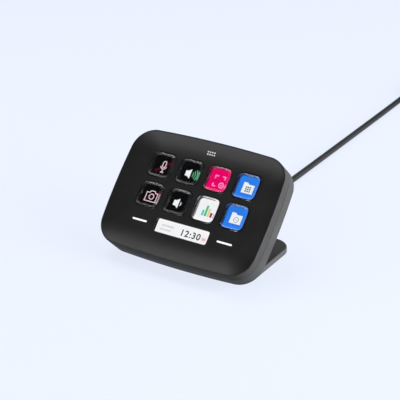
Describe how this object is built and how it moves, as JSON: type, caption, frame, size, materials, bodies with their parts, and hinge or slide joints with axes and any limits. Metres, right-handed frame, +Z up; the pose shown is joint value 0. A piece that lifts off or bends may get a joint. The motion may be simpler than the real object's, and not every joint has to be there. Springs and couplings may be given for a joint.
{
  "type": "desk keypad",
  "caption": "Desk keypad on a fixed tilted foot: clear display push keys in two rows over a small info display with a lit touch bar on each side, and a cable.",
  "frame": {"origin": "middle of the body and foot's bounding box at the desk, without the cable", "axes": "+X to the user's right, +Y to the back where the cable leaves, +Z up from the desk"},
  "size_m": [0.1658, 0.3941, 0.0673],
  "materials": {
    "front_shell": "satin black",
    "rear_shell": "fine matte black",
    "clear_key": null,
    "info_lens": "clear polished",
    "light_pipe": "milky, lit white",
    "foot": "fine matte black",
    "inner_frame": "black",
    "silicone": "dark silicone",
    "film": "amber polyimide",
    "display_glass": "glossy display",
    "light_guide": "white diffuser",
    "steel": "pressed",
    "screw_steel": "dark zinc",
    "circuit_board": "green solder mask",
    "led": "LED",
    "chip": "moulded black",
    "connector": "natural nylon",
    "pad": "matte silicone",
    "plug_metal": "nickel plated",
    "cable_plastic": "moulded black",
    "cable_jacket": "matte jacket",
    "tie": "silicone band"
  },
  "bodies": {
    "housing": {"front_bezel": "front_shell", "rear_shell": "rear_shell", "info_lens": "info_lens", "touch_light_pipe_left": "light_pipe", "touch_light_pipe_right": "light_pipe", "foot_plate": "foot", "key_frame": "inner_frame", "key_mat": "silicone", "contact_film": "film", "lcd_panel": "display_glass", "lcd_backlight": "light_guide", "lcd_tray": "steel", "tray_screws": "screw_steel", "info_display": "display_glass", "touch_board": "circuit_board", "touch_leds": "led", "touch_board_screws": "screw_steel", "main_board": "circuit_board", "main_board_chips": "chip", "flex_connectors": "connector", "lcd_flex": "film", "touch_flex": "film", "usb_link": "film", "board_screws": "screw_steel", "usb_board": "circuit_board", "usb_receptacle": "plug_metal", "usb_tongue": "chip", "usb_board_screws": "screw_steel", "case_screws": "screw_steel", "foot_weight": "steel", "foot_screws": "screw_steel", "foot_pad": "pad", "plug_shell": "plug_metal", "plug_grip": "cable_plastic", "plug_relief": "cable_plastic", "usb_cable_run": "cable_jacket", "usb_cable_coil": "cable_jacket", "coil_tie": "tie", "host_relief": "cable_plastic", "host_grip": "cable_plastic", "host_plug": "plug_metal", "host_tongue": "connector"},
    "key_1": {"key_cap_1": "clear_key"},
    "key_2": {"key_cap_2": "clear_key"},
    "key_3": {"key_cap_3": "clear_key"},
    "key_4": {"key_cap_4": "clear_key"},
    "key_5": {"key_cap_5": "clear_key"},
    "key_6": {"key_cap_6": "clear_key"},
    "key_7": {"key_cap_7": "clear_key"},
    "key_8": {"key_cap_8": "clear_key"}
  },
  "joints": [
    {"name": "key_1_press", "type": "slide", "parent": "housing", "child": "key_1", "axis": [0, 0.7193, -0.6947], "range_m": [0, 0.001], "stiffness_N_per_m": 600, "springref_m": -0.0005, "deforming": ["key_mat"]},
    {"name": "key_2_press", "type": "slide", "parent": "housing", "child": "key_2", "axis": [0, 0.7193, -0.6947], "range_m": [0, 0.001], "stiffness_N_per_m": 600, "springref_m": -0.0005, "deforming": ["key_mat"]},
    {"name": "key_3_press", "type": "slide", "parent": "housing", "child": "key_3", "axis": [0, 0.7193, -0.6947], "range_m": [0, 0.001], "stiffness_N_per_m": 600, "springref_m": -0.0005, "deforming": ["key_mat"]},
    {"name": "key_4_press", "type": "slide", "parent": "housing", "child": "key_4", "axis": [0, 0.7193, -0.6947], "range_m": [0, 0.001], "stiffness_N_per_m": 600, "springref_m": -0.0005, "deforming": ["key_mat"]},
    {"name": "key_5_press", "type": "slide", "parent": "housing", "child": "key_5", "axis": [0, 0.7193, -0.6947], "range_m": [0, 0.001], "stiffness_N_per_m": 600, "springref_m": -0.0005, "deforming": ["key_mat"]},
    {"name": "key_6_press", "type": "slide", "parent": "housing", "child": "key_6", "axis": [0, 0.7193, -0.6947], "range_m": [0, 0.001], "stiffness_N_per_m": 600, "springref_m": -0.0005, "deforming": ["key_mat"]},
    {"name": "key_7_press", "type": "slide", "parent": "housing", "child": "key_7", "axis": [0, 0.7193, -0.6947], "range_m": [0, 0.001], "stiffness_N_per_m": 600, "springref_m": -0.0005, "deforming": ["key_mat"]},
    {"name": "key_8_press", "type": "slide", "parent": "housing", "child": "key_8", "axis": [0, 0.7193, -0.6947], "range_m": [0, 0.001], "stiffness_N_per_m": 600, "springref_m": -0.0005, "deforming": ["key_mat"]}
  ]
}
